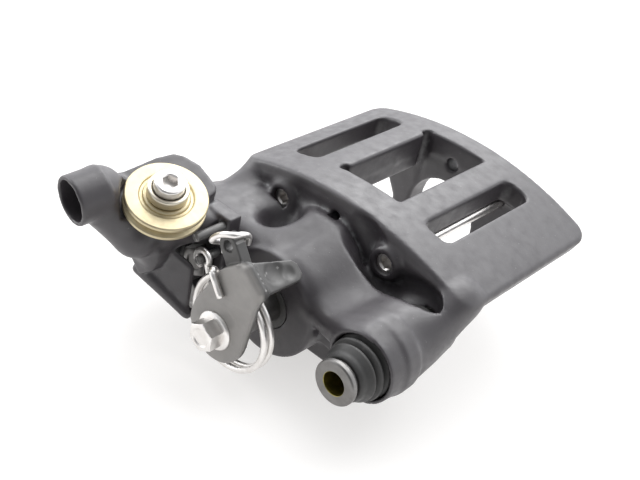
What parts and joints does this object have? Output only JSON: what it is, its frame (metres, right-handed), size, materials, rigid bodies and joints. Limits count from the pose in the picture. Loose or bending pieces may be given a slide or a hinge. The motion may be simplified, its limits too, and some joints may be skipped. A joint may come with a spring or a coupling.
{
  "type": "brake caliper",
  "caption": "Sliding-fist rear disc brake caliper with windowed bridge, handbrake lever with return spring, and a bracket carrying the cable pulley and casing socket.",
  "frame": {"origin": "on the flat foot under the cylinder, straight below the piston axis, 8 mm inboard of the inboard leg's disc-side face", "axes": "+X along the disc's rim towards the plain guide lug, +Y along the piston axis, outboard, +Z away from the disc's centre"},
  "size_m": [0.15, 0.2059, 0.0869],
  "materials": {
    "cast_black": "satin black paint over rough cast iron",
    "lever_black": "satin black paint over pressed steel",
    "zinc_steel": "bright zinc plate",
    "yellow_zinc": "yellow-passivated zinc plate",
    "machined_steel": "machined",
    "piston_plate": "ground and plated",
    "rubber": "moulded matt"
  },
  "bodies": {
    "housing": {"caliper_housing": "cast_black", "pad_pin_left": "zinc_steel", "pad_pin_right": "zinc_steel", "piston_seal": "rubber", "piston_dust_boot": "rubber", "spindle_spring": "machined_steel", "spring_retainer": "machined_steel", "shaft_seal": "rubber", "return_spring": "zinc_steel", "cable_bracket": "cast_black", "bracket_bolts": "machined_steel", "spring_pin": "zinc_steel", "stop_pin": "zinc_steel", "pulley_bush": "machined_steel", "pulley_washer": "yellow_zinc", "pulley_screw": "zinc_steel", "guide_bush_left": "rubber", "guide_bush_right": "rubber", "guide_boot_left": "rubber", "guide_boot_right": "rubber", "bleed_screw": "zinc_steel", "bleed_cap": "rubber"},
    "piston": {"piston": "piston_plate"},
    "spindle": {"thrust_spindle": "machined_steel", "ramp_balls": "machined_steel", "adjuster_nut": "machined_steel"},
    "lever": {"lever_shaft": "machined_steel", "handbrake_lever": "lever_black", "lever_bolt": "zinc_steel", "cable_clip": "zinc_steel"},
    "pulley": {"pulley": "yellow_zinc"},
    "guide_right": {"guide_sleeve_right": "machined_steel"},
    "guide_left": {"guide_sleeve_left": "machined_steel"}
  },
  "joints": [
    {"name": "lever_turn", "type": "hinge", "parent": "housing", "child": "lever", "pos_m": [0, -0.06, 0.03], "axis": [0, -1, 0], "range_deg": [0, 13], "stiffness_Nm_per_rad": 1.5, "springref_deg": -20.05, "deforming": ["return_spring"]},
    {"name": "spindle_slide", "type": "slide", "parent": "housing", "child": "spindle", "axis": [0, 1, 0], "range_m": [0, 0.0021], "deforming": ["spindle_spring"]},
    {"name": "piston_slide", "type": "slide", "parent": "housing", "child": "piston", "axis": [0, 1, 0], "range_m": [0, 0.02], "deforming": ["piston_dust_boot"]},
    {"name": "pulley_spin", "type": "hinge", "parent": "housing", "child": "pulley", "pos_m": [-0.03805, -0.0776, 0.07213], "axis": [0.2879, -0.1736, 0.9418], "continuous": true},
    {"name": "guide_slide_right", "type": "slide", "parent": "housing", "child": "guide_right", "axis": [0, 1, 0], "range_m": [0, 0.01], "deforming": ["guide_boot_right"]},
    {"name": "guide_slide_left", "type": "slide", "parent": "housing", "child": "guide_left", "axis": [0, 1, 0], "range_m": [0, 0.01], "deforming": ["guide_boot_left"]}
  ],
  "couplings": [
    {"joint": "spindle_slide", "follows": "lever_turn", "m_per_rad": 0.009},
    {"joint": "guide_slide_left", "follows": "guide_slide_right", "ratio": 1}
  ]
}
